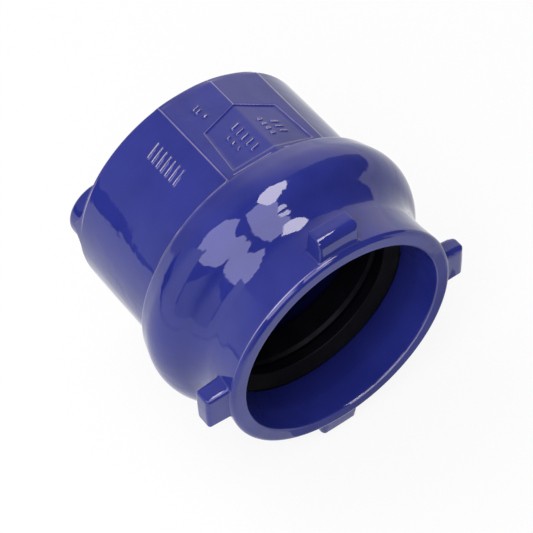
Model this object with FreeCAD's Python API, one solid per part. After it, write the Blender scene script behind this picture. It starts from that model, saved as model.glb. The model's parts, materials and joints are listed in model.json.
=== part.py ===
import FreeCAD, Part
import math
import os

# Push-on end cap for a water pipe: one coated iron casting and the rubber seal ring in its mouth.
# Millimetres. X runs along the socket and out of its mouth, Z is up as the cap sits on a level pipe.
# The origin is the centre of the mouth's face. A clock angle is 0 at the top and grows towards -Y.

# Pipe and entry
pipe_diameter = 118.0
entry_clearance = 1.25
entry_flare = 2.45
entry_flare_length = 14.0
mouth_edge_round = 1.2
pipe_end_room = 8.4

# Rim and neck
rim_wall = 11.5
rim_edge_round = 1.6
neck_draft = 0.9
neck_length = 31.6
flank_foot_round = 19.5

# Bulge
flank_angle = 47.0
crown_rise = 14.1
crown_round = 22.0
crown_fall_angle = 17.5
shoulder_setback = 16.0
shoulder_lean = 1.2
shoulder_round = 4.0
barrel_foot_round = 2.5
bulge_wall = 6.9
crown_wall = 9.7
seal_space_angle = 42.0
seal_space_length = 16.0
space_corner_round = 1.5
lip_edge_round = 0.8

# Barrel and closed end
body_length = 138.5
barrel_wall = 7.5
end_wall = 8.5
back_edge_round = 2.5
end_corner_round = 6.0

# Seal ring
seal_clearance = 0.25
seal_squeeze = 6.0
seal_face_length = 4.2
seal_land = 6.0
seal_notch_depth = 2.8
seal_notch_length = 5.0
seal_lip_length = 14.0
seal_lip_thickness = 2.3
seal_groove_depth = 9.0
seal_groove_round = 4.5
seal_heel_length = 8.0
seal_round = 0.9

# Four lugs round the mouth
lug_count = 4
lug_setback = 2.9
lug_length = 11.7
lug_root_width = 24.5
lug_tip_width = 23.2
lug_height = 13.0
lug_draft = 0.4
lug_corner_round = 3.4
lug_top_round = 2.8
lug_root_round = 1.2
lug_embed = 5.0

# Label pad: two flats that meet in a ridge, with a house-shaped recess
pad_angle = -10.5
flat_angle = 24.4
pad_proud = 0.15
pad_edge_round = 0.9
pad_embed = 4.0
pad_end_slope = 5.0
panel_depth = 0.9
panel_front_margin = 5.4
panel_back_margin = 25.0
panel_gable = 7.0
panel_side_margin = 5.9
panel_taper = 2.5
panel_corner_round = 1.2

# Boss on the closed end
boss_angle = 81.5
boss_radius = 19.6
boss_height = 11.7
boss_edge_round = 2.5
boss_root_round = 5.0
boss_embed = 4.0

# Reach of a cutting shape past the surface it cuts, and the slack in a search for edges
cut_margin = 1.0
edge_slack = 0.01
root_slack = 0.3

# Derived sizes
pipe_radius = pipe_diameter / 2
entry_radius = pipe_radius + entry_clearance
mouth_radius = entry_radius + entry_flare
rim_radius = entry_radius + rim_wall
neck_radius = rim_radius - neck_draft
crown_radius = neck_radius + crown_rise
barrel_bore_radius = pipe_radius + pipe_end_room
barrel_radius = barrel_bore_radius + barrel_wall
flank = math.radians(flank_angle)
space_flank = math.radians(seal_space_angle)
crown_fall = math.radians(crown_fall_angle)
flat_turn = math.radians(flat_angle)
X_AXIS = FreeCAD.Vector(1, 0, 0)
Z_AXIS = FreeCAD.Vector(0, 0, 1)
ORIGIN = FreeCAD.Vector(0, 0, 0)


def rounded_wire(corners):
    """Closed wire through (u, v, round) corners in the XZ plane, with a tangent arc at each rounded corner."""
    count = len(corners)
    starts = []
    middles = []
    ends = []
    for i in range(count):
        here, before, after = (
            FreeCAD.Vector(corner[0], 0, corner[1])
            for corner in (corners[i], corners[i - 1], corners[(i + 1) % count])
        )
        radius = corners[i][2]
        to_before = (before - here).normalize()
        to_after = (after - here).normalize()
        if radius == 0:
            starts.append(here)
            middles.append(None)
            ends.append(here)
            continue
        half_turn = to_before.getAngle(to_after) / 2
        reach = radius / math.tan(half_turn)
        bisector = (to_before + to_after).normalize()
        starts.append(here + to_before * reach)
        middles.append(here + bisector * (radius / math.sin(half_turn) - radius))
        ends.append(here + to_after * reach)
    edges = []
    for i in range(count):
        if middles[i] is not None:
            edges.append(Part.Arc(starts[i], middles[i], ends[i]).toShape())
        following = starts[(i + 1) % count]
        if ends[i].distanceToPoint(following) > Part.Precision.confusion():
            edges.append(Part.LineSegment(ends[i], following).toShape())
    return Part.Wire(edges)


def revolved(corners):
    """Solid of revolution about X from (x, radius, round) corners."""
    return Part.Face(rounded_wire(corners)).revolve(ORIGIN, X_AXIS, 360)


def at_clock(shape, angle):
    """Copy of a shape modelled at the top, turned to a clock angle."""
    turned = shape.copy()
    turned.rotate(ORIGIN, X_AXIS, angle)
    return turned


# The casting's outline, from the mouth back: rim, neck, bulge and barrel
crown_start = neck_length + crown_rise / math.tan(flank)
crown_top = crown_start + crown_round * math.tan(flank / 2)
crown_end = crown_top + crown_round * math.tan(crown_fall / 2)
shoulder_depth = crown_top + shoulder_setback
shoulder_radius = crown_radius - (shoulder_depth - crown_end) * math.tan(crown_fall)
foot_depth = shoulder_depth + shoulder_lean

outline = [
    (-body_length, 0, 0),
    (-body_length, barrel_radius, back_edge_round),
    (-foot_depth, barrel_radius, barrel_foot_round),
    (-shoulder_depth, shoulder_radius, shoulder_round),
    (-crown_end, crown_radius, crown_round),
    (-crown_start, crown_radius, crown_round),
    (-neck_length, neck_radius, flank_foot_round),
    (0, rim_radius, rim_edge_round),
    (0, 0, 0),
]

# The inside: flared entry, seal space under the bulge, bore of the barrel
space_radius = crown_radius - crown_wall
flank_middle_depth = (neck_length + crown_start) / 2
flank_middle_radius = (neck_radius + crown_radius) / 2
inner_flank_depth = flank_middle_depth + bulge_wall * math.sin(space_flank)
inner_flank_radius = flank_middle_radius - bulge_wall * math.cos(space_flank)


def inner_flank_at(radius, inset=0.0):
    """Depth at which the seal space's front cone, moved inwards by inset, reaches a radius."""
    depth = inner_flank_depth + inset * math.sin(space_flank)
    reference = inner_flank_radius - inset * math.cos(space_flank)
    return depth + (radius - reference) / math.tan(space_flank)


lip_depth = inner_flank_at(entry_radius)
space_start = inner_flank_at(space_radius)
space_end = space_start + seal_space_length
inner_end = body_length - end_wall
cavity = [
    (-inner_end, 0, 0),
    (-inner_end, barrel_bore_radius, end_corner_round),
    (-space_end, barrel_bore_radius, space_corner_round),
    (-space_end, space_radius, space_corner_round),
    (-space_start, space_radius, space_corner_round),
    (-lip_depth, entry_radius, lip_edge_round),
    (-entry_flare_length, entry_radius, 0),
    (0, mouth_radius, 0),
    (0, 0, 0),
]


def lug():
    """One lug at the top: a drafted block with rounded corners, rooted in the neck."""
    tip_radius = rim_radius + lug_height
    rings = []
    for radius in (rim_radius - lug_embed, tip_radius):
        share = (tip_radius - radius) / lug_height
        half_width = (lug_tip_width + (lug_root_width - lug_tip_width) * share) / 2
        front = -lug_setback - lug_draft * (1 - share)
        back = -lug_setback - lug_length + lug_draft * (1 - share)
        ring = rounded_wire([
            (front, -half_width, lug_corner_round),
            (front, half_width, lug_corner_round),
            (back, half_width, lug_corner_round),
            (back, -half_width, lug_corner_round),
        ])
        ring.rotate(ORIGIN, X_AXIS, -90)
        ring.translate(FreeCAD.Vector(0, 0, radius))
        rings.append(ring)
    block = Part.makeLoft(rings, True, True)
    top_edges = [edge for edge in block.Edges if edge.BoundBox.ZMin > tip_radius - edge_slack]
    return block.makeFillet(lug_top_round, top_edges)


# The label pad's ridge, half width and inner face, seen from the mouth
pad_ridge = (barrel_radius + pad_proud) / math.cos(flat_turn / 2)
pad_half_width = pad_ridge * math.sin(flat_turn)
pad_inner = barrel_radius * math.cos(flat_turn) - pad_embed


def facet_prism(ridge, inner, rounding):
    """Plate with two flats that meet in a ridge, over the barrel, modelled at the top."""
    section = rounded_wire([
        (ridge * math.sin(flat_turn), ridge * math.cos(flat_turn), rounding),
        (0, ridge, rounding),
        (-ridge * math.sin(flat_turn), ridge * math.cos(flat_turn), rounding),
        (-inner * math.sin(flat_turn), inner * math.cos(flat_turn), 0),
        (0, inner, 0),
        (inner * math.sin(flat_turn), inner * math.cos(flat_turn), 0),
    ])
    section.rotate(ORIGIN, Z_AXIS, 90)
    section.translate(FreeCAD.Vector(-body_length, 0, 0))
    return Part.Face(section).extrude(FreeCAD.Vector(body_length - shoulder_depth, 0, 0))


def label_pad():
    """The pad, its end at the back edge sloped down to the barrel."""
    plate = facet_prism(pad_ridge, barrel_radius - pad_embed, pad_edge_round)
    envelope = revolved([
        (-body_length, 0, 0),
        (-body_length, barrel_radius - back_edge_round, 0),
        (-body_length + pad_end_slope, pad_ridge + cut_margin, 0),
        (-shoulder_depth, pad_ridge + cut_margin, 0),
        (-shoulder_depth, 0, 0),
    ])
    return plate.common(envelope)


def panel_recess():
    """The house-shaped space above the recessed panel's two flats."""
    start = foot_depth + panel_front_margin
    peak = body_length - panel_back_margin
    eaves = peak - panel_gable
    start_half_width = pad_half_width - panel_side_margin
    eaves_half_width = start_half_width - panel_taper
    house = rounded_wire([
        (-start, -start_half_width, panel_corner_round),
        (-start, start_half_width, panel_corner_round),
        (-eaves, eaves_half_width, panel_corner_round),
        (-peak, 0, panel_corner_round),
        (-eaves, -eaves_half_width, panel_corner_round),
    ])
    house.rotate(ORIGIN, X_AXIS, -90)
    house.translate(FreeCAD.Vector(0, 0, pad_inner))
    prism = Part.Face(house).extrude(Z_AXIS * (pad_ridge + cut_margin - pad_inner))
    floor_ridge = pad_ridge - panel_depth / math.cos(flat_turn / 2)
    return prism.cut(facet_prism(floor_ridge, pad_inner, 0))


def boss():
    """Round boss on the closed end with a flared root, trimmed to stay in line with the barrel's side."""
    foot_radius = boss_radius + boss_root_round
    post = revolved([
        (-body_length - boss_height, 0, 0),
        (-body_length - boss_height, boss_radius, boss_edge_round),
        (-body_length, boss_radius, boss_root_round),
        (-body_length, foot_radius + cut_margin, 0),
        (-body_length + boss_embed, foot_radius + cut_margin, 0),
        (-body_length + boss_embed, 0, 0),
    ])
    post.translate(FreeCAD.Vector(0, 0, barrel_radius - boss_radius))
    envelope = revolved([
        (-body_length - boss_height, 0, 0),
        (-body_length - boss_height, barrel_radius, 0),
        (-body_length + boss_embed, barrel_radius, 0),
        (-body_length + boss_embed, 0, 0),
    ])
    return post.common(envelope)


def lug_root_edges(shape):
    """Edges where the lugs' walls meet the neck."""
    low = neck_radius - root_slack
    high = rim_radius + root_slack
    front = -lug_setback + root_slack
    back = -lug_setback - lug_length - root_slack
    found = []
    for edge in shape.Edges:
        points = [vertex.Point for vertex in edge.Vertexes]
        if points and all(
            low < math.hypot(point.y, point.z) < high and back < point.x < front for point in points
        ):
            found.append(edge)
    return found


def mouth_edges(shape):
    """The circle where the flared entry meets the rim's face."""
    found = []
    for edge in shape.Edges:
        box = edge.BoundBox
        if box.XMin > -edge_slack and abs(box.ZMax - mouth_radius) < edge_slack:
            found.append(edge)
    return found


def seal():
    """The seal ring: a heel in the front of the seal space, a sealing land and a trailing lip."""
    floor = space_radius - seal_clearance
    land_radius = pipe_radius - seal_squeeze
    front_radius = entry_radius + lip_edge_round
    front = inner_flank_at(front_radius, seal_clearance)
    land_start = front + seal_face_length
    land_end = land_start + seal_land
    lip_start = land_end + seal_notch_length
    lip_end = lip_start + seal_lip_length
    heel_start = inner_flank_at(floor, seal_clearance)
    return revolved([
        (-front, front_radius, 0),
        (-land_start, land_radius, seal_round),
        (-land_end, land_radius, seal_round),
        (-(land_end + lip_start) / 2, land_radius + seal_notch_depth, seal_round),
        (-lip_start, land_radius + seal_round, seal_round),
        (-lip_end, land_radius, seal_round),
        (-lip_end, land_radius + seal_lip_thickness, seal_round),
        (-heel_start, land_radius + seal_groove_depth, seal_groove_round),
        (-heel_start - seal_heel_length, floor, seal_round),
        (-heel_start, floor, seal_round),
    ])


# The casting: turned form, then what stands on it, then its inside and its panel
casting = revolved(outline)
casting = casting.fuse([at_clock(lug(), 360 / lug_count * i) for i in range(lug_count)])
casting = casting.makeFillet(lug_root_round, lug_root_edges(casting))
casting = casting.fuse(at_clock(label_pad(), pad_angle))
casting = casting.fuse(at_clock(boss(), boss_angle))
casting = casting.cut(revolved(cavity))
casting = casting.cut(at_clock(panel_recess(), pad_angle))
casting = casting.makeFillet(mouth_edge_round, mouth_edges(casting)).Solids[0]

seal_ring = seal()

os.makedirs("parts", exist_ok=True)
for name, shape in (("cap_casting", casting), ("seal_ring", seal_ring)):
    print(name, len(shape.Solids), "solid, valid", shape.isValid(), "volume", round(shape.Volume))
    shape.exportStep("parts/" + name + ".step")
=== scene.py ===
"""Looks of the pipe end cap: its coated casting, its rubber seal ring and the studio round them.

Metres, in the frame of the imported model: X runs along the socket and out of its mouth, Z is up.
A clock angle is 0 at the top and grows towards -Y.
"""
import json
from functools import partialmethod
from math import asin, ceil, cos, hypot, pi, radians, sin, tan

import bpy
import numpy as np
from bpy.props import FloatProperty, FloatVectorProperty, PointerProperty
from bpy.types import Operator, Panel, PropertyGroup
from mathutils import Matrix, Vector


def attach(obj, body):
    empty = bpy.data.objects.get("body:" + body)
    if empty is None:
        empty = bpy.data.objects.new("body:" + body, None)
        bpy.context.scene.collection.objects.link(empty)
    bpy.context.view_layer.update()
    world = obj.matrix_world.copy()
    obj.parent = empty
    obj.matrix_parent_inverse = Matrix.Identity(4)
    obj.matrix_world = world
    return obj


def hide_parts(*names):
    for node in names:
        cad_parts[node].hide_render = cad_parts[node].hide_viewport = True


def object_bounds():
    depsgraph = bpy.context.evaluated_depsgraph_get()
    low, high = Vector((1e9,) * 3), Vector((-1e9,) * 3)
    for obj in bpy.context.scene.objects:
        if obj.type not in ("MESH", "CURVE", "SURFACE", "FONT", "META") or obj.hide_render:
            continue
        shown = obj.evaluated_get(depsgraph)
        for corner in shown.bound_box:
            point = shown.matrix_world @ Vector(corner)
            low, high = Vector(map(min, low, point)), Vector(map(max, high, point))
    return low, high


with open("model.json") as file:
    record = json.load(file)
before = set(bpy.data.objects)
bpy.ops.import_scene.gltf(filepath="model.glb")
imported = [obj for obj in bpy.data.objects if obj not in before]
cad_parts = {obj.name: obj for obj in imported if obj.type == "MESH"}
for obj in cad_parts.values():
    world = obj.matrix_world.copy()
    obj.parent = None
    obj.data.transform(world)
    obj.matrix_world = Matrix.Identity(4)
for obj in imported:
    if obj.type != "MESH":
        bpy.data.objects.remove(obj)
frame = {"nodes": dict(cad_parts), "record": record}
cad_low, cad_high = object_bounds()

bl_info = {
    "name": "Pipe End Cap",
    "version": (1, 0, 0),
    "blender": (4, 5, 0),
    "location": "3D View > Sidebar > End Cap",
    "description": "Dresses the packed pipe end cap: coated casting, seal ring and studio",
    "category": "Object",
}

MM = 0.001
BODY = "root"
CASTING_NODE = "cap_casting"
SEAL_NODE = "seal_ring"
SOCKET_MOUNT = next(m for m in frame["record"]["mounts"] if m["name"] == "pipe_socket")
ENTRY_RADIUS = SOCKET_MOUNT["dims"]["r_mm"] * MM

# Rounds and flare of the socket's inside
MOUTH_ROUND = 1.2 * MM
ENTRY_FLARE = 2.45 * MM
ENTRY_FLARE_LENGTH = 14.0 * MM
SPACE_CORNER_ROUND = 1.5 * MM
LIP_EDGE_ROUND = 0.8 * MM
END_CORNER_ROUND = 6.0 * MM
END_POLE_RADIUS = 4.0 * MM
FINE_INSIDE_END = -30.0 * MM

# Grid of the casting's skin: (clock angle in degrees, columns up to the next)
LUG_COLUMNS = LUG_ROWS = 40
LUG_HALF_WINDOW = 12.5
COLUMN_PLAN = (
    (-102.5, LUG_COLUMNS), (-77.5, 34), (-36.0, 36), (-12.5, LUG_COLUMNS), (12.5, 40),
    (36.0, 34), (77.5, LUG_COLUMNS), (102.5, 40), (167.5, LUG_COLUMNS), (192.5, 40), (257.5, 0),
)
# Lugs as cast: clock angle; rounds of the top's edge, the corners and the front, and the tip's lean (mm)
LUGS = (
    (0.0, 0.9, 1.3, 4.6, -0.5), (90.0, 1.6, 2.4, 2.4, 0.3), (180.0, 2.6, 3.4, 3.6, -0.6),
    (270.0, 3.2, 3.6, 4.5, -1.2),
)
# A lug's patch of the skin: its place along X, and its rings from the middle of the top outwards
LUG_ZONE_BACK = -21.6 * MM
LUG_ZONE_FRONT = -1.4 * MM
LUG_FADE = 10.0 * MM
TOP_RINGS = 6
EDGE_RINGS = 5
WALL_RINGS = 3
ROOT_RINGS = 3
BASE_RINGS = 3
LUG_CROWN = 0.25 * MM
LEAST_CORNER = 0.3 * MM
CORNER_SHARE = 0.42
# Rows of the body, the closed end and the boss
ARC_STEP = 0.26
EDGE_ROWS = 6
END_ROWS = 13
WALL_ROWS = 3
TIP_SHARES = (0.86, 0.7, 0.5, 0.3, 0.12)
BOSS_LIFT_REACH = 11.0 * MM
BARREL_ROWS_START = -123.0 * MM
BARREL_ROWS_END = -74.5 * MM

# The panel's outline, along X and across the pad, and blends at the edges of pad, panel and marks
PANEL_CORNERS = tuple((x * MM, y * MM) for x, y in (
    (-76.9, -25.9), (-76.9, 25.9), (-106.5, 23.4), (-113.5, 0.0), (-106.5, -23.4)))
PANEL_TIP = min(PANEL_CORNERS)[0]
PAD_EDGE = (-0.9 * MM, 0.35 * MM)
PAD_BEVEL = 1.08
PANEL_WALL = (-0.55 * MM, 0.25 * MM)
MARK_WALL = (-0.5 * MM, 0.7 * MM)

# Raised marks as bars: middle along X, middle round the clock, half width, half length (mm), slant
ROW_BARS = tuple((-11.7 + 3.9 * i, 0.0, 0.65, 4.5, 0.16) for i in range(7))
PANEL_BARS = (
    *((-8.8 + 4.4 * i, 8.0, 0.65, 2.3, 0.2) for i in range(5)),
    *((-4.5 + 4.5 * i, 15.2, 0.7, 0.7, 0.3) for i in range(3)),
    *((-7.0 + 3.9 * i, -7.2, 1.05, 0.9, 0.0) for i in range(4)),
    *((-3.0 + 4.0 * i, -14.4, 0.7, 1.9, -0.3) for i in range(3)),
)
PIP_BARS = ((-1.3, 0.0, 0.6, 1.7, 0.2), (1.3, 0.3, 0.6, 1.4, 0.2), (6.2, -0.8, 0.75, 0.5, 0.0))
PANEL_PLACE = -92.0 * MM
BARREL_MARKS = ((-107.5 * MM, radians(27.0), ROW_BARS), (-122.0 * MM, radians(2.5), PIP_BARS))

# Painted highlight lines over cast edges, and painted glints on the marks: place from what is measured, half
# width, soft edge (mm) and strength
PAINTED_HIGHLIGHT_LINES = {
    "pad ridge": (0.0, 0.10, 0.32, 1.0), "near pad edge": (0.0, 0.12, 0.36, 0.6),
    "far pad edge": (0.0, 0.30, 0.60, 1.4), "far pad step": (3.4, 0.20, 0.50, 0.98),
    "panel": (0.25, 0.06, 0.30, 0.7), "mark": (-0.52, 0.06, 0.24, 1.2),
    "barrel foot": (-74.1, 0.10, 0.35, 1.0), "shoulder": (-69.6, 0.08, 0.30, 1.0),
    "back edge": (1.4, 0.12, 0.38, 1.0), "rim": (-2.35, 0.08, 0.36, 1.0), "mouth": (0.25, 0.06, 0.34, 1.0),
}
SAG_HEIGHT = 0.32 * MM

# Math nodes of numpy's functions, so that one formula serves a mesh and a material
NODE_MATHS = {
    np.absolute: "ABSOLUTE", np.sqrt: "SQRT", np.sin: "SINE", np.minimum: "MINIMUM", np.maximum: "MAXIMUM",
}


def length_setting(name, description, millimetres):
    """A length of a property group."""
    return FloatProperty(name=name, description=description, default=millimetres * MM, unit="LENGTH")


def angle_setting(name, description, degrees):
    """An angle of a property group."""
    return FloatProperty(name=name, description=description, default=radians(degrees), subtype="ANGLE")


def colour_setting(name, description, colour):
    """A colour of a property group."""
    return FloatVectorProperty(
        name=name, description=description, default=colour, subtype="COLOR", min=0, max=1)


class CapSizes(PropertyGroup):
    """Sizes of the casting that the frame's box doesn't give."""

    rim_wall: length_setting("Rim wall", "Wall of the rim", 11.5)
    rim_edge_round: length_setting("Rim edge", "Round of the rim's outer edge", 2.8)
    neck_draft: length_setting("Neck draft", "Fall of the neck's radius", 0.9)
    neck_dip: length_setting("Neck dip", "Depth of the neck's hollow", 0.5)
    neck_length: length_setting("Neck length", "Mouth's face to the flank", 31.6)
    flank_foot_round: length_setting("Flank foot", "Hollow round from neck to flank", 19.5)
    flank_angle: angle_setting("Flank", "Slope of the bulge's front", 47.0)
    crown_rise: length_setting("Crown rise", "Height of the bulge over the neck", 14.1)
    crown_round: length_setting("Crown round", "Round of the bulge's crown", 22.0)
    crown_fall: angle_setting("Crown fall", "Slope of the bulge behind it", 17.5)
    shoulder_setback: length_setting("Shoulder", "Top of the crown to the shoulder", 16.0)
    shoulder_lean: length_setting("Shoulder lean", "Lean of its rear face", 1.2)
    shoulder_round: length_setting("Shoulder round", "Round of the shoulder's edge", 4.0)
    barrel_foot_round: length_setting("Barrel foot", "Hollow round behind the shoulder", 2.5)
    barrel_radius: length_setting("Barrel radius", "Outer radius of the barrel", 74.9)
    back_edge_round: length_setting("Back edge", "Round of the barrel's back edge", 2.5)
    barrel_wall: length_setting("Barrel wall", "Wall of the barrel", 7.5)
    end_wall: length_setting("End wall", "Wall of the closed end", 8.5)
    crown_wall: length_setting("Crown wall", "Wall of the bulge at its crown", 9.7)
    bulge_wall: length_setting("Bulge wall", "Wall of the bulge's flank", 6.9)
    space_angle: angle_setting("Seal space slope", "Slope of its front", 42.0)
    space_length: length_setting("Seal space", "Length of the seal space", 16.0)
    lug_setback: length_setting("Lug setback", "Mouth's face to the lugs' front", 3.0)
    lug_length: length_setting("Lug length", "Lugs along the socket", 11.7)
    lug_root_width: length_setting("Lug root", "Width of a lug at its root", 24.5)
    lug_tip_width: length_setting("Lug tip", "Width of a lug at its tip", 23.2)
    lug_height: length_setting("Lug height", "Height of a lug over the rim", 13.0)
    lug_draft: length_setting("Lug draft", "Draft of a lug's front and back", 0.4)
    lug_root_round: length_setting("Lug foot", "Hollow round at a lug's root", 1.3)
    boss_angle: angle_setting("Boss angle", "Clock angle of the boss", 81.5)
    boss_radius: length_setting("Boss radius", "Radius of the boss", 19.6)
    boss_height: length_setting("Boss height", "Height of the boss", 11.7)
    boss_edge_round: length_setting("Boss edge", "Round of the boss's edge", 2.5)
    boss_root_round: length_setting("Boss root", "Hollow round at the boss's root", 5.0)
    pad_angle: angle_setting("Pad angle", "Clock angle of the pad", -10.5)
    flat_turn: angle_setting("Flat turn", "Angle that one flat spans", 24.4)
    pad_proud: length_setting("Pad height", "Height of a flat over the barrel", 0.15)
    panel_depth: length_setting("Panel depth", "Depth of the panel in the pad", 0.9)
    mark_height: length_setting("Mark height", "Height of the raised marks", 0.5)
    waviness: length_setting("Waviness", "Height of the long waves", 0.05)


class CapColours(PropertyGroup):
    """Colours of the coat and the rubber, with the coat's painted highlight and painted shade."""

    coat: colour_setting("Coat", "Epoxy coat", (0.021, 0.028, 0.215))
    coat_deep: colour_setting("Coat, thick", "Coat where it has pooled", (0.015, 0.021, 0.18))
    # Painted shade: the coat darker deeper inside the socket
    coat_inside: colour_setting("Coat, inside", "Thicker coat inside the socket", (0.008, 0.010, 0.085))
    # Painted highlight: pale lines along cast edges and glints along the marks
    thin_coat: colour_setting("Coat, thin", "Coat drawn thin over a cast edge", (0.46, 0.40, 0.54))
    rubber: colour_setting("Rubber", "Seal ring", (0.002, 0.002, 0.004))
    bloom: colour_setting("Bloom", "Pale bloom on the rubber", (0.004, 0.004, 0.007))


class Shade:
    """A socket of a shader tree, for sums, products, comparisons and numpy's functions."""

    def __init__(self, tree, socket):
        self.tree = tree
        self.socket = socket

    def node(self, kind, settings=None, **inputs):
        """A node of this kind: its settings first, then its inputs, by name or as _0, _1."""
        made = self.tree.nodes.new(kind)
        for key, value in (settings or {}).items():
            setattr(made, key, value)
        for key, value in inputs.items():
            target = made.inputs[int(key[1:])] if key[0] == "_" else made.inputs[key.replace("__", " ")]
            if isinstance(value, Shade):
                self.tree.links.new(value.socket, target)
            else:
                target.default_value = value
        return made

    def out(self, made, name=0):
        """One output of a node, wrapped."""
        return Shade(self.tree, made.outputs[name])

    def maths(self, operation, other=0.0, swap=False):
        """A Math node on this value and another."""
        first, second = (other, self) if swap else (self, other)
        return self.out(self.node("ShaderNodeMath", {"operation": operation}, _0=first, _1=second))

    def __array_ufunc__(self, function, method, first, *others):
        """The Math node of a numpy function that is called on this value."""
        return first.maths(NODE_MATHS[function], *others)

    __add__ = __radd__ = partialmethod(maths, "ADD")
    __mul__ = __rmul__ = partialmethod(maths, "MULTIPLY")
    __sub__ = partialmethod(maths, "SUBTRACT")
    __rsub__ = partialmethod(maths, "SUBTRACT", swap=True)
    __gt__ = partialmethod(maths, "GREATER_THAN")
    __lt__ = partialmethod(maths, "LESS_THAN")

    def axes(self):
        """X, Y and Z of this vector."""
        parts = self.node("ShaderNodeSeparateXYZ", _0=self)
        return [self.out(parts, axis) for axis in "XYZ"]

    def fit(self, low, high, to_low=0.0, to_high=1.0):
        """This value carried smoothly from low..high to another range."""
        settings = {"interpolation_type": "SMOOTHSTEP"}
        return self.out(self.node(
            "ShaderNodeMapRange", settings, _0=self, _1=low, _2=high, _3=to_low, _4=to_high))

    def noise(self, scale, detail=2.0, roughness=0.5, distortion=0.0):
        """Noise over this vector."""
        return self.out(self.node(
            "ShaderNodeTexNoise", Vector=self, Scale=scale, Detail=detail, Roughness=roughness,
            Distortion=distortion))

    def mix(self, low, high):
        """A colour between two, by this value."""
        low, high = (end if isinstance(end, Shade) else (*end, 1.0) for end in (low, high))
        return self.out(self.node("ShaderNodeMix", {"data_type": "RGBA"}, _0=self, _6=low, _7=high), 2)

    def show(self, shader):
        """Sends a shader to the material's output."""
        self.node("ShaderNodeOutputMaterial", Surface=self.out(shader))


def node_tree(owner):
    """The emptied nodes of a material or a world, by the Object coordinates of what wears it."""
    owner.use_nodes = True
    tree = owner.node_tree
    tree.nodes.clear()
    return Shade(tree, tree.nodes.new("ShaderNodeTexCoord").outputs["Object"])


def new_material(name):
    """An empty material and its coordinates."""
    material = bpy.data.materials.new(name)
    return material, node_tree(material)


def outline_distance(u, v, corners):
    """Signed distance to a convex outline, less than zero inside it, of arrays or shader values."""
    distance = -1.0
    for (u0, v0), (u1, v1) in zip(corners, (*corners[1:], corners[0])):
        length = hypot(u1 - u0, v1 - v0)
        side = (u - u0) * ((v1 - v0) / length) - (v - v0) * ((u1 - u0) / length)
        distance = np.maximum(side, distance)
    return distance


def bars_distance(u, v, bars):
    """Distance to the nearest of some round-ended slanted bars, of arrays or shader values."""
    nearest = 1.0
    for middle, height, half_width, half_length, slant in bars:
        above = v - height * MM
        across = u - middle * MM - above * slant
        beyond = np.maximum(np.abs(above) - half_length * MM, 0.0)
        nearest = np.minimum(np.sqrt(across * across + beyond * beyond) - half_width * MM, nearest)
    return nearest


def highlight_line(distance, kind):
    """The strength of a kind of line where it lies, falling softly to 0 beside it."""
    *widths, strength = PAINTED_HIGHLIGHT_LINES[kind]
    place, half, soft = (width * MM for width in widths)
    return np.abs(distance - place).fit(half, half + soft, strength, 0.0)


def pad_highlight_lines(x, turn, across, sizes):
    """Painted highlight lines on the pad: its ridge, both edges and the panel's outline."""
    edge = (np.abs(turn) - sizes.flat_turn) * sizes.barrel_radius
    ridge = highlight_line(turn * sizes.barrel_radius, "pad ridge") * (x < PANEL_TIP)
    near = highlight_line(edge, "near pad edge") * (turn > 0.0)
    # The far edge's painted highlight is stronger, since less lamp light falls on that side.
    far = (highlight_line(edge, "far pad edge") + highlight_line(edge, "far pad step")) * (turn < 0.0)
    panel = highlight_line(outline_distance(x, across, PANEL_CORNERS), "panel")
    return ridge + near + far + panel * turn.fit(-0.1, 0.1, 1.2, 0.6)


def body_highlight_lines(x, radius, clock, sizes):
    """Painted highlight lines round the body: the barrel's foot, the shoulder and a part of the back edge.
    """
    barrel = sizes.barrel_radius
    foot = highlight_line(x, "barrel foot") * (radius < barrel + MM) * (radius > barrel - MM)
    shoulder = highlight_line(x, "shoulder") * (radius > barrel + 4.0 * MM)
    back = highlight_line(x + sizes.body_length, "back edge") * (radius > barrel - 2.0 * MM)
    # The back edge's painted highlight shows only over a span of clock angles.
    back = back * clock.fit(0.75, 1.05) * clock.fit(1.30, 1.50, 1.0, 0.0)
    return np.maximum(np.maximum(foot, shoulder), back)


def mouth_highlight_lines(x, y, radius, clock, sizes):
    """Painted highlight lines on the rim's outer edge and the mouth's edge, each faint but for a bright
    part, a painted reflection of the window on one side.
    """
    over_rim = radius - sizes.rim_radius
    rim = highlight_line(x, "rim") * (over_rim > -2.0 * MM) * (over_rim < 0.5 * MM)
    # Each bright part lies over a span of clock angles, where the window's painted reflection falls.
    rim_side = clock.fit(radians(8.0), radians(20.0))
    rim_side = rim_side * clock.fit(radians(30.0), radians(75.0), 1.0, 0.1)
    mouth = highlight_line(radius - ENTRY_RADIUS - ENTRY_FLARE, "mouth") * (x > -1.5 * MM)
    mouth_side = np.abs(clock).fit(radians(100.0), radians(145.0), 0.08, 1.0) * (y > 4.0 * MM)
    return np.maximum(rim * (rim_side * 0.9 + 0.06), mouth * (mouth_side * 0.9 + 0.06))


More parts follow.
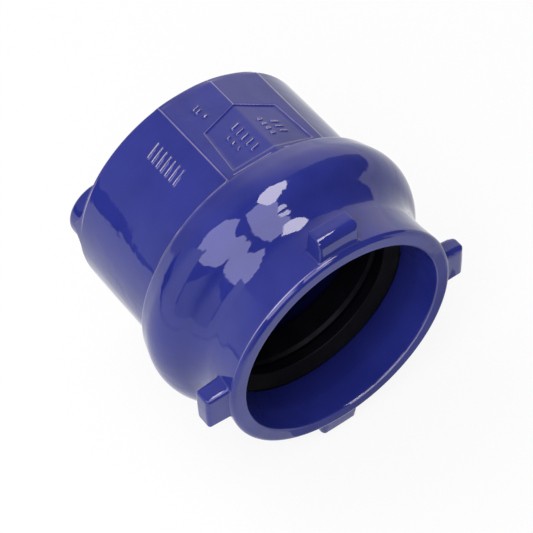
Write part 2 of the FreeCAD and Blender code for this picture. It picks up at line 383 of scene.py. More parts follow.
def cast_edges(place, sizes):
    """Painted highlight lines over cast edges and painted glints on the marks, and the sharp relief of the
    marks.

    Returns a mask of painted highlights, a height in metres, and the place along X with the radius.
    """
    x, y, z = place.axes()
    radius = np.sqrt(y * y + z * z)
    clock = (y * -1.0).maths("ARCTAN2", z)
    turn = clock - sizes.pad_angle
    across = np.sin(turn) * (sizes.barrel_radius / cos(sizes.flat_turn / 2))
    on_barrel = x.fit(-72.5 * MM, -71.5 * MM, 1.0, 0.0) * (radius > sizes.barrel_radius - 4.0 * MM)
    uneven = place.noise(48.0).fit(0.30, 0.62, 0.25, 0.9)
    lines = np.maximum(
        pad_highlight_lines(x, turn, across, sizes) * on_barrel, body_highlight_lines(x, radius, clock, sizes)) * uneven
    lines = np.maximum(lines, mouth_highlight_lines(x, y, radius, clock, sizes))

    nearest = bars_distance(x - PANEL_PLACE, across, PANEL_BARS)
    for mark_x, mark_turn, bars in BARREL_MARKS:
        on_mark = bars_distance(x - mark_x, (clock - mark_turn) * sizes.barrel_radius, bars)
        nearest = np.minimum(nearest, on_mark)
    height = nearest.fit(-0.60 * MM, 0.25 * MM, 0.42 * MM, 0.0) * on_barrel
    # Painted glints along the middle of each mark.
    glints = highlight_line(nearest, "mark") * on_barrel * place.noise(90.0).fit(0.35, 0.55, 0.4, 1.0)
    return np.maximum(lines, glints), height, (x, radius)


def coat_material(colours, sizes):
    """Glossy epoxy coat over a casting.

    It has long sags, fine orange peel, a little pooling and a few specks. It has painted highlights
    along cast edges and on the marks, and painted shade deeper inside the socket.
    """
    material, place = new_material("epoxy_coat")
    lines, mark_height, (x, radius) = cast_edges(place, sizes)
    pooling = place.noise(28.0, 3.0, 0.55).fit(0.35, 0.7)
    base = pooling.mix(colours.coat, colours.coat_deep)
    specks = place.noise(420.0, 1.0).fit(0.80, 0.84)
    base = (specks * 0.75).mix(base, (0.006, 0.007, 0.05))
    # Painted shade: the coat inside the socket grows darker with depth from the mouth
    inner = radius.fit(69.0 * MM, 70.0 * MM, 1.0, 0.0) * x.fit(-45.0 * MM, -2.0 * MM, 1.0, 0.0)
    inner = inner * x.fit(-134.0 * MM, -132.0 * MM)
    base = (inner * 0.85).mix(base, colours.coat_inside)
    # Painted highlights along cast edges and glints on the marks.
    base = (lines * 0.7).mix(base, colours.thin_coat)
    sags = place.noise(62.0, 2.0, 0.45, 0.4)
    swell = place.noise(150.0)
    peel = place.noise(1100.0)
    relief = (sags + swell * 0.16 + peel * 0.012) * SAG_HEIGHT + mark_height
    bump = place.node("ShaderNodeBump", Distance=1.0, Height=relief)
    roughness = place.noise(40.0, 3.0, 0.6).fit(0.3, 0.75, 0.025, 0.06)
    place.show(place.node(
        "ShaderNodeBsdfPrincipled", Base__Color=base, Roughness=roughness, IOR=1.5, Normal=place.out(bump)))
    return material


def rubber_material(colours):
    """Moulded black rubber with a faint bloom and fine mould lines round the ring."""
    material, place = new_material("seal_rubber")
    bloom = place.noise(90.0, 4.0, 0.6).fit(0.5, 0.8, 0.0, 0.8)
    mould_lines = np.sin(place.axes()[0] * 9000.0).fit(0.2, 1.0)
    relief = mould_lines * 0.12 + place.noise(900.0, 3.0, 0.6) * 0.5
    bump = place.node("ShaderNodeBump", Strength=0.5, Distance=0.08 * MM, Height=relief)
    roughness = place.noise(60.0, 3.0, 0.6).fit(0.3, 0.7, 0.42, 0.6)
    place.show(place.node(
        "ShaderNodeBsdfPrincipled", Base__Color=bloom.mix(colours.rubber, colours.bloom),
        Roughness=roughness, Normal=place.out(bump), Specular__IOR__Level=0.09))
    return material


def smooth_step(value, low, high):
    """0 below low, 1 above high and a smooth cubic between them."""
    share = np.clip((value - low) / (high - low), 0.0, 1.0)
    return share * share * (3.0 - 2.0 * share)


def smooth_max(first, second, reach):
    """The larger of two values, rounded where they cross by a parabola of the given reach."""
    overlap = np.clip(reach - np.abs(first - second), 0.0, None)
    return np.maximum(first, second) + overlap * overlap / (4.0 * reach)


def rounded_line(corners):
    """Points along a line in the (x, radius) plane with tangent arcs at its corners.

    A corner is (x, radius, round, pitch in mm): points lie about a pitch apart on the straight run
    that leads to it, and an arc has a point each ARC_STEP radians or each pitch, whichever is closer.
    """
    places = [corner[0] + 1j * corner[1] for corner in corners]
    points = [places[0]]

    def run_to(end, pitch):
        start = points[-1]
        steps = max(1, ceil(abs(end - start) / pitch - 1e-6))
        if abs(end - start) > 1e-9:
            points.extend(start + (end - start) * k / steps for k in range(1, steps + 1))

    for i in range(1, len(corners) - 1):
        here, radius, pitch = places[i], corners[i][2], corners[i][3] * MM
        if radius == 0:
            run_to(here, pitch)
            continue
        back, ahead = (way / abs(way) for way in (places[i - 1] - here, places[i + 1] - here))
        half = abs(np.angle(ahead / back)) / 2
        run_to(here + back * radius / tan(half), pitch)
        centre = here + (back + ahead) / abs(back + ahead) * radius / sin(half)
        spoke = points[-1] - centre
        turn = np.angle((here + ahead * radius / tan(half) - centre) / spoke)
        steps = max(2, ceil(abs(turn) / ARC_STEP), ceil(abs(turn) * radius / pitch))
        points.extend(centre + spoke * np.exp(1j * turn * k / steps) for k in range(1, steps + 1))
    run_to(places[-1], corners[-1][3] * MM)
    line = np.array(points)
    return line.real, line.imag


def column_angles():
    """Clock angles of the skin's columns, in radians, closer together at the lugs, the pad and the marks."""
    runs = [
        start[0] + (end[0] - start[0]) * np.arange(start[1]) / start[1]
        for start, end in zip(COLUMN_PLAN, COLUMN_PLAN[1:])
    ]
    return np.radians(np.concatenate(runs))


def on_clock(x, radius, angle):
    """Points at a place along X, a radius and a clock angle."""
    x, radius, angle = np.broadcast_arrays(x, radius, angle)
    return np.stack([x, -radius * np.sin(angle), radius * np.cos(angle)], axis=-1)


def wrapped(angle):
    """An angle brought into -pi to pi."""
    return (angle + pi) % (2 * pi) - pi


def raised_bars(u, v, bars, height):
    """Height of raised round-ended bars, smoothly down to 0 beside them."""
    return height * (1.0 - smooth_step(bars_distance(u, v, bars), *MARK_WALL))


def long_waves(x, angle, height):
    """Long uneven waves of a cast surface, from a little under its profile to twice the height lower.

    They are a sum of sines along X and whole waves round the clock, kept in bounds by a tanh.
    """
    random = np.random.default_rng(7)
    total = np.zeros(np.broadcast(x, angle).shape)
    for _ in range(14):
        round_waves = random.integers(2, 24)
        along = random.uniform(-150.0, 150.0)
        phase = random.uniform(0.0, 2 * pi)
        total += np.sin(round_waves * angle + along * x + phase)
    return height * (np.tanh(total / 3.0) - 1.6)


def outer_radius(sizes, x, radius, angle):
    """Radius of the skin at places on its profile: pad, panel and marks stand on the barrel.

    The pad is two flats that meet in a ridge, each a straight line as seen along X. The panel is
    its house-shaped recess, and marks and long waves are added to what results.
    """
    barrel = sizes.barrel_radius
    turn = wrapped(angle - sizes.pad_angle)
    flat = sizes.flat_turn
    ridge = (barrel + sizes.pad_proud) / cos(flat / 2)
    side = np.minimum(np.abs(turn), flat * 1.05)
    pad = ridge * cos(flat / 2) / np.cos(side - flat / 2)
    slope = barrel - sizes.back_edge_round + (x + sizes.body_length) * PAD_BEVEL
    pad = -smooth_max(-pad, -slope, 0.8 * MM)
    inside = smooth_step((flat - np.abs(turn)) * barrel, *PAD_EDGE)
    across = ridge * np.sin(turn) / cos(flat / 4)
    outline = outline_distance(x, across, PANEL_CORNERS)
    panel = sizes.panel_depth * (1.0 - smooth_step(outline, *PANEL_WALL))
    panel_marks = raised_bars(x - PANEL_PLACE, across, PANEL_BARS, sizes.mark_height) * (outline < 0.0)
    behind = smooth_step(-x, sizes.foot_depth - 3.0 * MM, sizes.foot_depth + 1.0 * MM)
    lifted = smooth_max(radius, pad, 0.5 * MM)
    result = radius + (lifted - radius) * inside * behind - (panel - panel_marks) * behind
    for mark_x, mark_turn, bars in BARREL_MARKS:
        around = wrapped(angle - mark_turn) * barrel
        result = result + raised_bars(x - mark_x, around, bars, sizes.mark_height) * behind
    return result + long_waves(x, angle, sizes.waviness)


def rounded_box(side_x, side_y, half_x, half_y, corner):
    """Points of a rounded rectangle, by the point (side_x, side_y) of a square's edge that they answer.

    The square runs from -1 to 1. The last part of each of its sides bends round the corner's arc.
    """
    steep = np.abs(side_x) >= np.abs(side_y)
    slide = np.where(steep, np.abs(side_y), np.abs(side_x))
    straight = np.clip(slide / (1.0 - CORNER_SHARE), 0.0, 1.0)
    bend = np.clip((slide - 1.0 + CORNER_SHARE) / CORNER_SHARE, 0.0, 1.0) * pi / 4
    bend = np.where(steep, bend, pi / 2 - bend)
    bent = slide > 1.0 - CORNER_SHARE
    arc_x = corner * np.cos(bend) * np.where(steep, 1.0, bent)
    arc_y = corner * np.sin(bend) * np.where(steep, bent, 1.0)
    x = np.where(steep, 1.0, straight) * (half_x - corner) + arc_x
    y = np.where(steep, straight, 1.0) * (half_y - corner) + arc_y
    return np.sign(side_x) * x, np.sign(side_y) * y


def lug_patch(sizes, neck, edge, corner_round, front_round, lean):
    """A lug at the top, as a patch of the skin in the lugs' zone and LUG_HALF_WINDOW either way.

    Square rings of the grid become, from the middle out, the lug's flat top, the round of its top
    edge, its wall, the hollow round at its root, and the neck up to the patch's edge. The top also
    falls in an arc of front_round towards the lug's front.
    """
    half = LUG_COLUMNS // 2
    along, across = np.meshgrid(
        np.linspace(-1, 1, LUG_ROWS + 1), np.linspace(-1, 1, LUG_COLUMNS + 1), indexing="ij")
    reach = np.maximum(np.abs(along), np.abs(across))
    level = np.rint(reach * half).astype(int)
    safe = np.maximum(reach, 1e-9)
    side_x, side_y = along / safe, across / safe
    root = sizes.lug_root_round
    tip = sizes.rim_radius + sizes.lug_height
    top_scale = np.minimum(level / TOP_RINGS, 1)
    edge_arc = np.clip((level - TOP_RINGS) / EDGE_RINGS, 0, 1) * pi / 2
    share = np.clip((level - TOP_RINGS - EDGE_RINGS) / WALL_RINGS, 0, 1)
    root_arc = np.clip((level - half + BASE_RINGS + ROOT_RINGS) / ROOT_RINGS, 0, 1) * pi / 2
    base = np.clip((level - half + BASE_RINGS) / BASE_RINGS, 0, 1)
    inset = edge * (1 - np.sin(edge_arc)) - root * (1 - np.cos(root_arc))
    drop = edge * (1 - np.cos(edge_arc)) * (share == 0)

    half_width = (sizes.lug_tip_width + (sizes.lug_root_width - sizes.lug_tip_width) * share) / 2
    half_length = sizes.lug_length / 2 - sizes.lug_draft * (1 - share)
    corner = np.maximum(corner_round - inset, LEAST_CORNER)
    x, y = rounded_box(side_x, side_y, half_length - inset, half_width - inset, corner)
    x = x * top_scale - sizes.lug_setback - sizes.lug_length / 2
    y = y * top_scale + lean * (1 - share)
    ground = neck(x)
    into = np.clip(x + sizes.lug_setback + sizes.lug_draft + front_round, 0.0, front_round)
    front_fall = front_round - np.sqrt(front_round ** 2 - into ** 2)
    high = tip - LUG_CROWN * (y / half_width) ** 2 - np.maximum(drop, front_fall)
    low = np.sqrt(ground ** 2 - y ** 2) + root * (1 - np.sin(root_arc))
    z = high + (low - high) * share

    turn = np.arcsin(np.clip(y / ground, -1, 1))
    turn = turn + (radians(LUG_HALF_WINDOW) * side_y - turn) * base
    zone_x = (LUG_ZONE_BACK + LUG_ZONE_FRONT) / 2 + (LUG_ZONE_FRONT - LUG_ZONE_BACK) / 2 * side_x
    x = x + (zone_x - x) * base
    ground = neck(x)
    z = np.where(base > 0, ground * np.cos(turn), z)
    y = np.where(base > 0, ground * np.sin(turn), y)
    return np.stack([x, y, z], axis=-1)


def turned(points, angle):
    """Points turned about X by a clock angle. The patch's own y grows with the clock angle."""
    x, y, z = np.moveaxis(points, -1, 0)
    sine, cosine = sin(angle), cos(angle)
    return np.stack([x, -(y * cosine + z * sine), z * cosine - y * sine], axis=-1)


def outside_rows(sizes, angles):
    """Rows of the skin from the barrel's back edge to the rim's inner edge."""
    crown_start = sizes.neck_length + sizes.crown_rise / tan(sizes.flank_angle)
    crown_top = crown_start + sizes.crown_round * tan(sizes.flank_angle / 2)
    crown_end = crown_top + sizes.crown_round * tan(sizes.crown_fall / 2)
    shoulder = crown_top + sizes.shoulder_setback
    shoulder_radius = sizes.crown_radius - (shoulder - crown_end) * tan(sizes.crown_fall)
    sizes.foot_depth = shoulder + sizes.shoulder_lean
    rounding = sizes.rim_edge_round
    barrel = sizes.barrel_radius

    def neck(x):
        """Radius of the neck, a cone that ends in the round of the rim's edge, at a place along X."""
        into = np.clip(x + rounding, 0.0, rounding)
        round_fall = rounding - np.sqrt(rounding ** 2 - into ** 2)
        depth = -x / sizes.neck_length
        dip = sizes.neck_dip * np.sin(pi * np.clip(depth, 0.0, 1.0)) ** 2
        return sizes.rim_radius - sizes.neck_draft * depth - round_fall - dip

    x, radius = rounded_line([
        (-sizes.body_length + sizes.back_edge_round, barrel, 0, 1.0),
        (BARREL_ROWS_START, barrel, 0, 1.3),
        (BARREL_ROWS_END, barrel, 0, 0.70),
        (-sizes.foot_depth, barrel, sizes.barrel_foot_round, 0.5),
        (-shoulder, shoulder_radius, sizes.shoulder_round, 0.8),
        (-crown_end, sizes.crown_radius, sizes.crown_round, 1.15),
        (-crown_start, sizes.crown_radius, sizes.crown_round, 1.15),
        (-sizes.neck_length, sizes.neck_radius, sizes.flank_foot_round, 1.15),
        (LUG_ZONE_BACK, neck(LUG_ZONE_BACK), 0, 1.2),
    ])
    first = len(x) - 1
    x_rows = np.linspace(LUG_ZONE_BACK, LUG_ZONE_FRONT, LUG_ROWS + 1)
    arc = np.linspace(asin(1 + LUG_ZONE_FRONT / rounding), pi / 2, EDGE_ROWS)[1:]
    face_x, face_radius = rounded_line([
        (0, sizes.rim_radius - rounding, 0, 1.0),
        (0, ENTRY_RADIUS + ENTRY_FLARE, MOUTH_ROUND, 1.1),
        (-ENTRY_FLARE_LENGTH, ENTRY_RADIUS, 0, ENTRY_FLARE_LENGTH / MM),
    ])
    x = np.concatenate([x[:-1], x_rows, rounding * (np.sin(arc) - 1), face_x[1:-1]])
    edge_radius = sizes.rim_radius - rounding * (1 - np.cos(arc))
    radius = np.concatenate([radius[:-1], neck(x_rows), edge_radius, face_radius[1:-1]])
    grid_x, grid_radius, grid_angle = np.broadcast_arrays(x[:, None], radius[:, None], angles)
    shown = outer_radius(sizes, grid_x, grid_radius, grid_angle)
    fade = smooth_step(-grid_x, -LUG_ZONE_BACK, LUG_FADE - LUG_ZONE_BACK)
    grid = on_clock(grid_x, grid_radius + (shown - grid_radius) * fade, grid_angle)
    for centre, *form in LUGS:
        patch = lug_patch(sizes, neck, *(size * MM for size in form))
        start = int(np.argmin(np.abs(wrapped(angles - radians(centre - LUG_HALF_WINDOW)))))
        columns = (start + np.arange(LUG_COLUMNS + 1)) % len(angles)
        grid[first:first + LUG_ROWS + 1, columns] = turned(patch, radians(centre))
    return grid, (x[-1], radius[-1])


def end_rows(sizes, edge_row, angles):
    """Rows of the closed end and its boss, from the barrel's side to the middle of the boss's tip.

    The boss's circle touches the barrel's from inside. A column runs from its point P of the
    barrel to the point Q of the boss that lies in the same direction from the boss's middle: down
    over the rounded back edge, across the end face and up the hollow round of the boss's root.
    Where P and Q are close, the end face lifts until edge and root merge into one wall.
    """
    direction = np.stack([-np.sin(angles), np.cos(angles)], axis=-1)
    boss_way = np.array([-sin(sizes.boss_angle), cos(sizes.boss_angle)])
    middle = (sizes.barrel_radius - sizes.boss_radius) * boss_way
    start = edge_row[:, 1:]
    goal = middle + sizes.boss_radius * direction
    span = np.hypot(*(goal - start).T)
    way = (goal - start) / np.maximum(span, 1e-9)[:, None]
    lift = sizes.boss_root_round * (1.0 - smooth_step(span, 0.0, BOSS_LIFT_REACH))
    edge = np.minimum(sizes.back_edge_round, 0.35 * span)
    root = np.minimum(sizes.boss_root_round, 0.6 * span)
    back = -sizes.body_length
    tip = back - sizes.boss_height
    wall_low, wall_high = back - sizes.boss_root_round, tip + sizes.boss_edge_round
    quarter = np.linspace(0, pi / 2, EDGE_ROWS + 1)[1:]
    rows = []

    def add(x, plan):
        rows.append(np.column_stack([np.broadcast_to(x, len(angles)), plan]))

    def add_inward(distance, x):
        add(x, start + way * distance[:, None])

    for a in quarter:
        fall = (sizes.back_edge_round + lift) * sin(a)
        add_inward(edge * (1 - cos(a)), back + sizes.back_edge_round - fall)
    for share in np.linspace(0, 1, END_ROWS + 1)[1:]:
        add_inward(edge + (span - root - edge) * share, back - lift)
    for a in quarter:
        fall = (sizes.boss_root_round - lift) * (1 - cos(a))
        add_inward(span - root * (1 - sin(a)), back - lift - fall)
    for share in np.linspace(0, 1, WALL_ROWS + 1)[1:]:
        add(wall_low + (wall_high - wall_low) * share, goal)
    for a in quarter:
        radius = sizes.boss_radius - sizes.boss_edge_round * (1 - cos(a))
        add(wall_high - sizes.boss_edge_round * sin(a), middle + radius * direction)
    for share in TIP_SHARES:
        add(tip, middle + (sizes.boss_radius - sizes.boss_edge_round) * share * direction)
    return rows, np.array([tip, *middle])


def inside_rows(sizes, start, angles):
    """Rows of the inside, from the flared entry to the middle of the closed end's inner face."""
    space_radius = sizes.crown_radius - sizes.crown_wall
    middle_depth = sizes.neck_length + sizes.crown_rise / tan(sizes.flank_angle) / 2
    reference_depth = middle_depth + sizes.bulge_wall * sin(sizes.space_angle)
    reference_radius = (
        sizes.crown_radius - sizes.crown_rise / 2 - sizes.bulge_wall * cos(sizes.space_angle))

    def depth_at(radius):
        """Depth at which the inner flank, a cone, reaches a radius."""
        return reference_depth + (radius - reference_radius) / tan(sizes.space_angle)

    bore = sizes.barrel_radius - sizes.barrel_wall
    space_start = depth_at(space_radius)
    space_end = space_start + sizes.space_length
    inner_end = sizes.body_length - sizes.end_wall
    x, radius = rounded_line([
        (*start, 0, 1.0),
        (-ENTRY_FLARE_LENGTH, ENTRY_RADIUS, 0, 1.6),
        (-depth_at(ENTRY_RADIUS), ENTRY_RADIUS, LIP_EDGE_ROUND, 2.4),
        (-space_start, space_radius, SPACE_CORNER_ROUND, 3.0),
        (-space_end, space_radius, SPACE_CORNER_ROUND, 4.0),
        (-space_end, bore, SPACE_CORNER_ROUND, 3.0),
        (-inner_end, bore, END_CORNER_ROUND, 5.0),
        (-inner_end, END_POLE_RADIUS, 0, 6.0),
    ])
    rows = []
    for place, size in zip(x[1:], radius[1:]):
        step = 2 if place > FINE_INSIDE_END and size < sizes.rim_radius else 4
        rows.append(on_clock(place, size, angles[::step]))
    return rows, np.array([-inner_end, 0.0, 0.0])


def closed_mesh(name, rows, poles):
    """A closed mesh from rows of points round an axis, with a fan to a pole at either end.

    Neighbouring rows are joined by quads, or, where one has a whole share of the other's points,
    by faces that take several of the finer row's edges.
    """
    counts = [len(row) for row in rows]
    starts = np.concatenate([[0], np.cumsum(counts)])
    faces = []
    for first in range(len(rows) - 1):
        widens = counts[first] < counts[first + 1]
        fine, coarse = (first + 1, first) if widens else (first, first + 1)
        ratio = counts[fine] // counts[coarse]
        index = np.arange(counts[coarse])
        fine_side = [starts[fine] + (index * ratio + k) % counts[fine] for k in range(ratio + 1)]
        coarse_side = [starts[coarse] + (index + 1) % counts[coarse], starts[coarse] + index]
        face = np.stack(fine_side + coarse_side, axis=1)
        faces.extend((face[:, ::-1] if widens else face).tolist())
    for pole, row, order in ((0, 0, -1), (1, len(rows) - 1, 1)):
        index = np.arange(counts[row])
        apex = np.full(counts[row], starts[-1] + pole)
        fan = np.stack([starts[row] + index, starts[row] + (index + 1) % counts[row], apex], axis=1)
        faces.extend(fan[:, ::order].tolist())
    mesh = bpy.data.meshes.new(name)
    mesh.from_pydata(np.concatenate([*rows, poles]).tolist(), [], faces, shade_flat=False)
    return mesh


def add_object(name, data):
    """An object of the scene with this data."""
    made = bpy.data.objects.new(name, data)
    bpy.context.scene.collection.objects.link(made)
    return made


def add_piece(name, mesh, material, node):
    """A shown piece on the body, which stands for a node and takes a slot's finish."""
    mesh.materials.append(material)
    piece = add_object(name, mesh)
    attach(piece, BODY)
    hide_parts(node)


class CastingSizes:
    """The sizes of the property group, with those that follow from the frame."""

    def __init__(self, group):
        for key in group.__annotations__:
            setattr(self, key, getattr(group, key))
        self.rim_radius = ENTRY_RADIUS + self.rim_wall
        self.neck_radius = self.rim_radius - self.neck_draft
        self.crown_radius = self.neck_radius + self.crown_rise
        self.body_length = -cad_low.x - self.boss_height
        self.foot_depth = 0.0


class ENDCAP_OT_casting(Operator):
    """Make the coated casting's skin."""

    bl_idname = "endcap.casting"
    bl_label = "Casting"

    def execute(self, context):
        sizes = CastingSizes(context.scene.endcap_sizes)
        angles = column_angles()
        outside, inner_start = outside_rows(sizes, angles)
        ending, boss_pole = end_rows(sizes, outside[0], angles)
        inside, end_pole = inside_rows(sizes, inner_start, angles)
        ending = ending[:EDGE_ROWS] + [row[::2] for row in ending[EDGE_ROWS:]]
        rows = ending[::-1] + list(outside) + inside
        mesh = closed_mesh("casting_skin", rows, (boss_pole, end_pole))
        coat = coat_material(context.scene.endcap_colours, sizes)
        add_piece("casting_skin", mesh, coat, CASTING_NODE)
        return {"FINISHED"}


class ENDCAP_OT_seal(Operator):
    """Give the imported seal ring its rubber material."""

    bl_idname = "endcap.seal"
    bl_label = "Seal ring"

    def execute(self, context):
        piece = frame["nodes"][SEAL_NODE]
        piece.data.materials.clear()
        piece.data.materials.append(rubber_material(context.scene.endcap_colours))
        return {"FINISHED"}


CAMERA_PLACE = Vector((0.5473025, -0.4077486, 0.9313139))
CAMERA_RIGHT = Vector((0.58806654, 0.80803509, -0.03545475))
CAMERA_UP = Vector((-0.62276699, 0.48033265, 0.61760977))
CAMERA_LENS = 148.593
LAMP_AIM = Vector((-0.07, 0.0, 0.0))
FLOOR_GAP = 0.3 * MM
FLOOR_RADIUS = 3.0
FLOOR_SIDES = 96
ROOM_RADIUS = 2.4
ROOM_SIDES = 48
ROOM_RINGS = 14
ROOM_TOP = 1.5
CARD_LIFT = 0.5 * MM

# The window that the coat mirrors: light, distance, and corners as slopes from the aim's direction
WINDOW_CENTRE = Vector((-0.045, -0.025, 0.078))
WINDOW_AIM = Vector((0.10, -0.35, 0.93)).normalized()
WINDOW_PANES = (
    ("window_low", (3.8, 3.6, 4.5), 1.02, (
        (-0.5, -0.74), (-0.58, -0.5), (-0.45, -0.25), (-0.34, -0.13), (0.0, -0.01), (0.12, 0.03),
        (0.36, -0.09), (0.7, -0.15), (1.0, 0.0), (1.45, 0.03), (1.62, -0.1), (1.7, -0.84), (1.1, -0.8),
        (0.4, -0.78), (0.0, -0.8), (-0.32, -0.84))),
    ("window_high", (3.6, 3.4, 4.3), 1.02, (
        (0.14, 0.13), (0.13, 0.45), (0.35, 0.58), (0.7, 0.68), (1.1, 0.66), (1.62, 0.62), (1.55, 0.15),
        (0.75, 0.13))),
    ("window_strip", (9.0, 8.6, 9.0), 1.01, (
        (0.98, 0.76), (1.3, 0.93), (1.66, 0.98), (1.6, 0.62), (1.15, 0.6))),
    ("window_sky", (11.6, 10.9, 11.0), 1.0, (
        (-0.38, 0.62), (-0.17, 0.97), (0.06, 0.93), (0.36, 0.78), (0.46, 0.62), (0.46, 0.46), (0.2, 0.39),
        (0.0, 0.32), (-0.22, 0.46))),
)

# Cards round the cap that the coat mirrors: name, first and last light with their places along X,
# and corners from the floor up
CARDS = (
    ("room_side", (0.42, 1.0, -0.45, -0.12), (
        (-0.03, -0.337, 0.0), (-1.2, -0.75, 0.0), (-1.2, -0.75, 0.5), (-0.03, -0.337, 0.4))),
    ("front_wall", (0.75, 0.08, 0.07, 0.19), (
        (-0.02, -0.3, 0.075), (0.17, -0.21, 0.045), (0.36, -0.12, 0.0), (0.36, -0.12, 0.24),
        (-0.02, -0.3, 0.2))),
    ("right_wall", (0.1, 0.1), (
        (0.36, -0.12, 0.0), (0.36, 0.35, 0.0), (0.36, 0.35, 0.24), (0.36, -0.12, 0.24))),
    ("front_shade", (0.1, 0.1), (
        (0.27, -0.12, 0.0), (0.15, -0.06, 0.0), (0.13, 0.0, 0.0), (0.15, 0.15, 0.0), (0.36, 0.35, 0.0),
        (0.36, -0.12, 0.0))),
    ("floor_edge", (0.02, 0.75, -0.4, -0.15), (
        (0.15, -0.268, 0.0), (-1.00, -0.672, 0.0), (-1.00, -0.672, 0.3), (-0.66, -0.552, 0.2),
        (-0.42, -0.467, 0.15), (-0.372, -0.451, 0.128), (-0.345, -0.441, 0.042), (-0.26, -0.412, 0.026),
        (0.0, -0.322, 0.012))),
    ("front_floor", (0.9, 0.9), (
        (-0.02, -0.045, 0.0), (0.095, -0.05, 0.0), (0.11, 0.15, 0.0), (-0.05, 0.15, 0.0), (-0.05, 0.06, 0.0),
        (-0.02, 0.012, 0.0))),
    ("front_patch", (0.34, 0.5, 0.03, 0.06), tuple((x, y, 0.4 * MM) for x, y in (
        (0.007, -0.026), (0.026, -0.024), (0.026, 0.01), (0.032, 0.04), (0.046, 0.068), (0.068, 0.088),
        (0.068, 0.13), (0.02, 0.12), (-0.014, 0.085), (-0.017, 0.014), (0.006, 0.012)))),
)


def stage_object(name, vertices, faces, material):
    """A mesh that belongs to the stage."""
    mesh = bpy.data.meshes.new(name)
    mesh.from_pydata(vertices, [], faces)
    mesh.materials.append(material)
    made = add_object(name, mesh)
    return made


def glow_material(name, low, high, start=0.0, end=1.0):
    """Light of a colour that changes to another between two places along X."""
    material, place = new_material(name)
    colour = place.axes()[0].fit(start, end).mix(low, high)
    place.show(place.node("ShaderNodeEmission", Color=colour))
    return material


def only_mirrored(item):
    """Leaves an object of the stage out of all but reflections."""
    item.visible_camera = False
    item.visible_diffuse = False
    item.visible_shadow = False
    item.visible_transmission = False


def mirrored_card(name, corners, *light):
    """A glowing card that only shows as a reflection."""
    only_mirrored(stage_object(name, corners, [range(len(corners))], glow_material(name, *light)))


def seen_directly(place):
    """1 for what is seen itself, in a mirror or through glass, and 0 for the light on other things."""
    path = place.node("ShaderNodeLightPath")
    seen = place.out(path, "Is Camera Ray") + place.out(path, "Is Glossy Ray")
    return np.minimum(seen + place.out(path, "Is Transmission Ray"), 1.0)


def floor_material():
    """Pale floor: mostly its own light as it is seen, and the rest lit, so that it keeps a shadow."""
    material, place = new_material("studio_floor")
    matte = place.node("ShaderNodeBsdfDiffuse", Color=(0.9, 0.9, 0.9, 1.0))
    glow = place.node("ShaderNodeEmission", Color=(1.0, 1.0, 1.0, 1.0))
    place.show(place.node(
        "ShaderNodeMixShader", _0=seen_directly(place) * 0.88, _1=place.out(matte), _2=place.out(glow)))
    return material


def dome_material():
    """What the coat mirrors above the floor: a dim room with a pale wall behind it to the right."""
    material, place = new_material("studio_room")
    way = place.out(place.node("ShaderNodeVectorMath", {"operation": "NORMALIZE"}, _0=place))
    x, y, z = way.axes()
    wall = (x * -0.951 - y * 0.309).fit(-0.02, 0.02) * y.fit(-0.10, 0.40) * z.fit(0.65, 0.95, 1.0, 0.4)
    left = (x * -1.0).fit(0.0, 0.5)
    low = y.fit(0.3, 0.5) * z.fit(0.06, 0.10, 1.0, 0.0)
    light = np.maximum(wall * 0.80 + left * 0.28 + 0.10, low * 1.1)
    colour = (light * 0.8).mix((0.0, 0.0, 0.0), (1.25, 1.16, 1.13))
    place.show(place.node("ShaderNodeEmission", Color=colour))
    return material


def world_material(world):
    """A white world, dimmer as a light than as it is seen."""
    place = node_tree(world)
    sky = seen_directly(place).mix((0.55, 0.55, 0.55), (1.0, 1.0, 1.0))
    background = place.node("ShaderNodeBackground", Color=sky)
    place.node("ShaderNodeOutputWorld", Surface=place.out(background))


def soft_lamp(name, place, size, power):
    """A soft square lamp that isn't mirrored in the coat."""
    data = bpy.data.lights.new(name, "AREA")
    data.energy = power
    data.size = size
    lamp = add_object(name, data)
    aim = (LAMP_AIM - Vector(place)).to_track_quat("-Z", "Y")
    lamp.matrix_world = Matrix.Translation(place) @ aim.to_matrix().to_4x4()
    lamp.visible_glossy = False


def circle(radius, sides, height):
    """Points of a level circle round the Z axis."""
    turn = np.linspace(0, 2 * pi, sides, endpoint=False)
    return np.column_stack([radius * np.cos(turn), radius * np.sin(turn), np.full(sides, height)])


def add_room(height):
    """The floor as one round face, and the dome over it that only the coat mirrors."""
    rim = circle(FLOOR_RADIUS, FLOOR_SIDES, height)
    stage_object("studio_floor", rim.tolist(), [range(FLOOR_SIDES)], floor_material())
    rings = [
        circle(ROOM_RADIUS * cos(up), ROOM_SIDES, height + ROOM_RADIUS * sin(up))
        for up in np.linspace(0.0, ROOM_TOP, ROOM_RINGS)
    ]
    index = np.arange(ROOM_SIDES)
    after = (index + 1) % ROOM_SIDES
    faces = []
    for low in range(0, (ROOM_RINGS - 1) * ROOM_SIDES, ROOM_SIDES):
        high = low + ROOM_SIDES
        faces.extend(np.stack([low + index, high + index, high + after, low + after], axis=1).tolist())
    faces.append(range((ROOM_RINGS - 1) * ROOM_SIDES, ROOM_RINGS * ROOM_SIDES))
    only_mirrored(stage_object("studio_room", np.concatenate(rings).tolist(), faces, dome_material()))


def add_cards(height):
    """The window and the cards round the cap that the coat mirrors."""
    across = Vector((0.0, 1.0, 0.0)).cross(WINDOW_AIM).normalized()
    upward = WINDOW_AIM.cross(across)
    for name, light, distance, slopes in WINDOW_PANES:
        corners = [WINDOW_CENTRE + (WINDOW_AIM + across * u + upward * v) * distance for u, v in slopes]
        mirrored_card(name, corners, light, light)
    for name, (low, high, *span), places in CARDS:
        corners = [(x, y, height + CARD_LIFT + up) for x, y, up in places]
        mirrored_card(name, corners, (low,) * 3, (high,) * 3, *span)


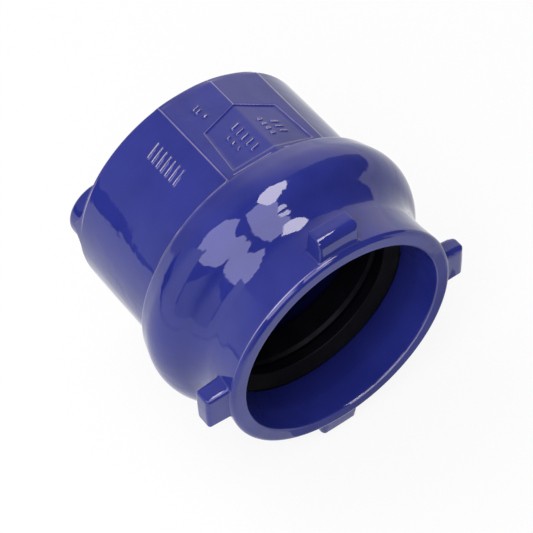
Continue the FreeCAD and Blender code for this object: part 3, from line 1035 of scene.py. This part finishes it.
def add_camera(scene):
    """The camera at the photo's place."""
    data = bpy.data.cameras.new("camera")
    data.lens = CAMERA_LENS
    data.clip_start = 0.05
    camera = add_object("camera", data)
    turn = Matrix((CAMERA_RIGHT, CAMERA_UP, CAMERA_RIGHT.cross(CAMERA_UP))).transposed()
    camera.matrix_world = Matrix.Translation(CAMERA_PLACE) @ turn.to_4x4()
    scene.camera = camera


class ENDCAP_OT_stage(Operator):
    """Make the floor, the lights and the camera."""

    bl_idname = "endcap.stage"
    bl_label = "Stage"

    def execute(self, context):
        scene = context.scene
        scene.view_settings.view_transform = "Standard"
        scene.world = bpy.data.worlds.new("studio")
        world_material(scene.world)
        height = cad_low.z - FLOOR_GAP
        add_room(height)
        add_cards(height)
        soft_lamp("key", (0.35, -0.55, 0.75), 0.5, 5.2)
        soft_lamp("fill", (-0.5, -0.2, 0.8), 0.6, 3.6)
        add_camera(scene)
        return {"FINISHED"}


class ENDCAP_PT_panel(Panel):
    """Lists the steps that make the end cap's looks."""

    bl_idname = "ENDCAP_PT_panel"
    bl_label = "Pipe End Cap"
    bl_space_type = "VIEW_3D"
    bl_region_type = "UI"
    bl_category = "End Cap"

    def draw(self, context):
        for operator in (ENDCAP_OT_casting, ENDCAP_OT_seal, ENDCAP_OT_stage):
            self.layout.operator(operator.bl_idname)
        for group in (context.scene.endcap_sizes, context.scene.endcap_colours):
            for key in group.__annotations__:
                self.layout.prop(group, key)


CLASSES = (CapSizes, CapColours, ENDCAP_OT_casting, ENDCAP_OT_seal, ENDCAP_OT_stage, ENDCAP_PT_panel)


def register():
    for item in CLASSES:
        bpy.utils.register_class(item)
    bpy.types.Scene.endcap_sizes = PointerProperty(type=CapSizes)
    bpy.types.Scene.endcap_colours = PointerProperty(type=CapColours)


def unregister():
    del bpy.types.Scene.endcap_colours
    del bpy.types.Scene.endcap_sizes
    for item in reversed(CLASSES):
        bpy.utils.unregister_class(item)


def main():
    """Registers the add-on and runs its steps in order."""
    register()
    bpy.ops.endcap.casting()
    bpy.ops.endcap.seal()
    bpy.ops.endcap.stage()


if __name__ == "__main__":
    main()
